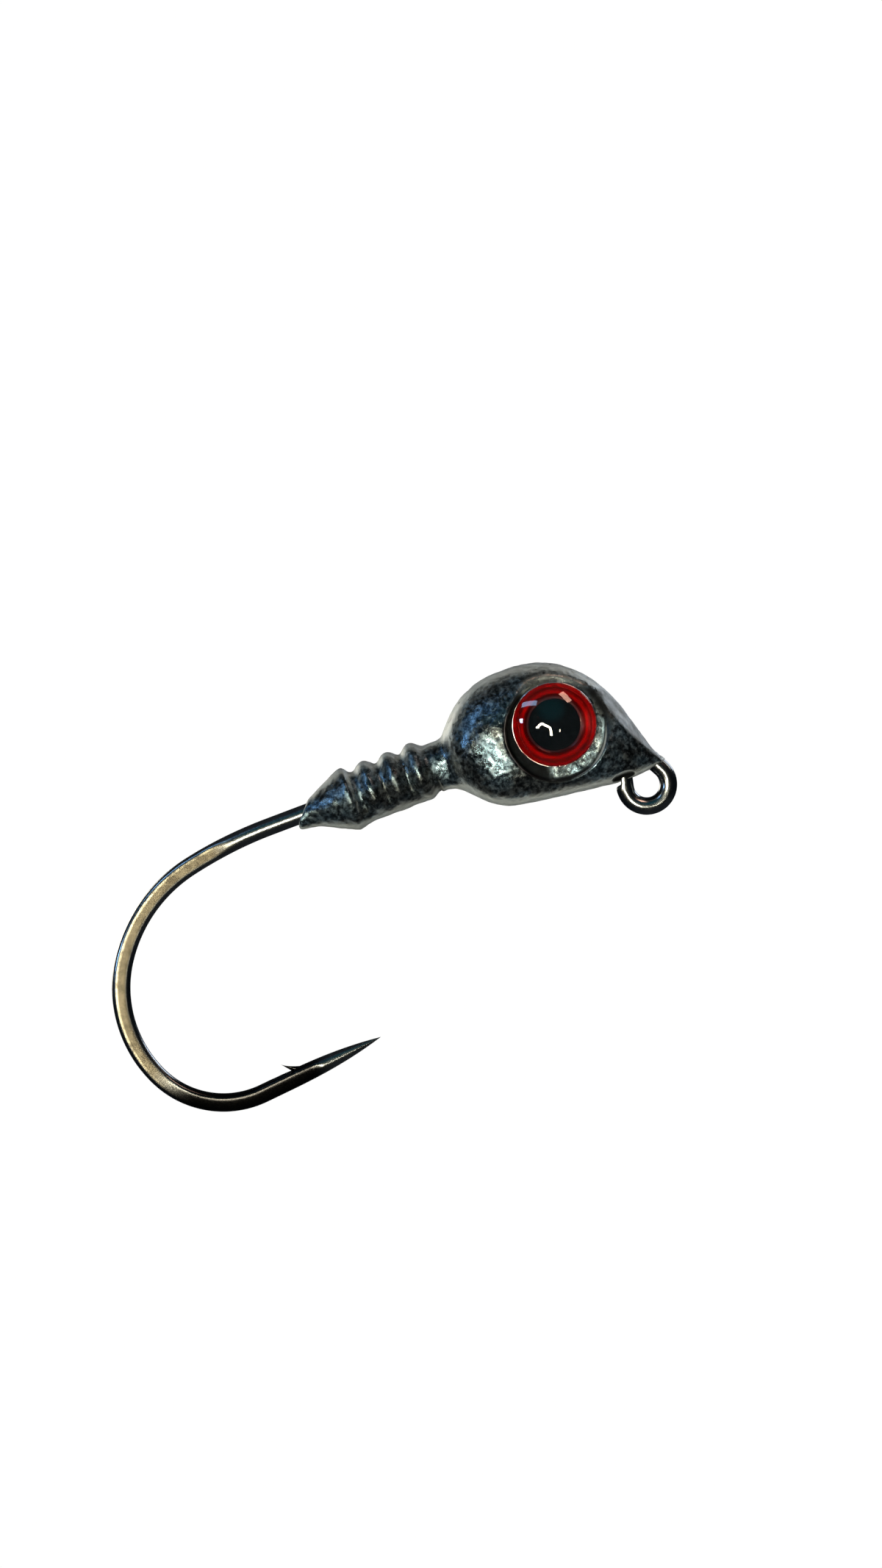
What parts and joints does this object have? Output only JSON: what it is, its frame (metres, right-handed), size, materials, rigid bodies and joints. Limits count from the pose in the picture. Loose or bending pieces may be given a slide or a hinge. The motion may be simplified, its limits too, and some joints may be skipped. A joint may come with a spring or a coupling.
{
  "type": "jig head",
  "caption": "Bare lead fishing jig head: ball-and-wedge head with domed red eyes, ribbed bait collar, and a forged, barbed hook whose wire also forms the line-tie ring.",
  "frame": {"origin": "centre of the line-tie ring's bore", "axes": "+X along the hook's shank towards the nose, +Z from the point up to the shank, +Y across the head along the line tie's bore"},
  "size_m": [0.0368, 0.007, 0.0193],
  "materials": {
    "lead": "bare lead, as cast, glossy with a mottled grain",
    "black_nickel": "black nickel plate, glossy",
    "glue": "white acrylic pad",
    "foil": "bright foil",
    "iris_red": "red lacquer over foil",
    "pupil_black": "black ink",
    "clear_resin": "clear cast dome"
  },
  "bodies": {
    "root": {"head_casting": "lead", "hook": "black_nickel", "left_eye_glue_pad": "glue", "left_eye_foil": "foil", "left_eye_iris": "iris_red", "left_eye_pupil": "pupil_black", "left_eye_lens": "clear_resin", "right_eye_glue_pad": "glue", "right_eye_foil": "foil", "right_eye_iris": "iris_red", "right_eye_pupil": "pupil_black", "right_eye_lens": "clear_resin"}
  },
  "joints": []
}
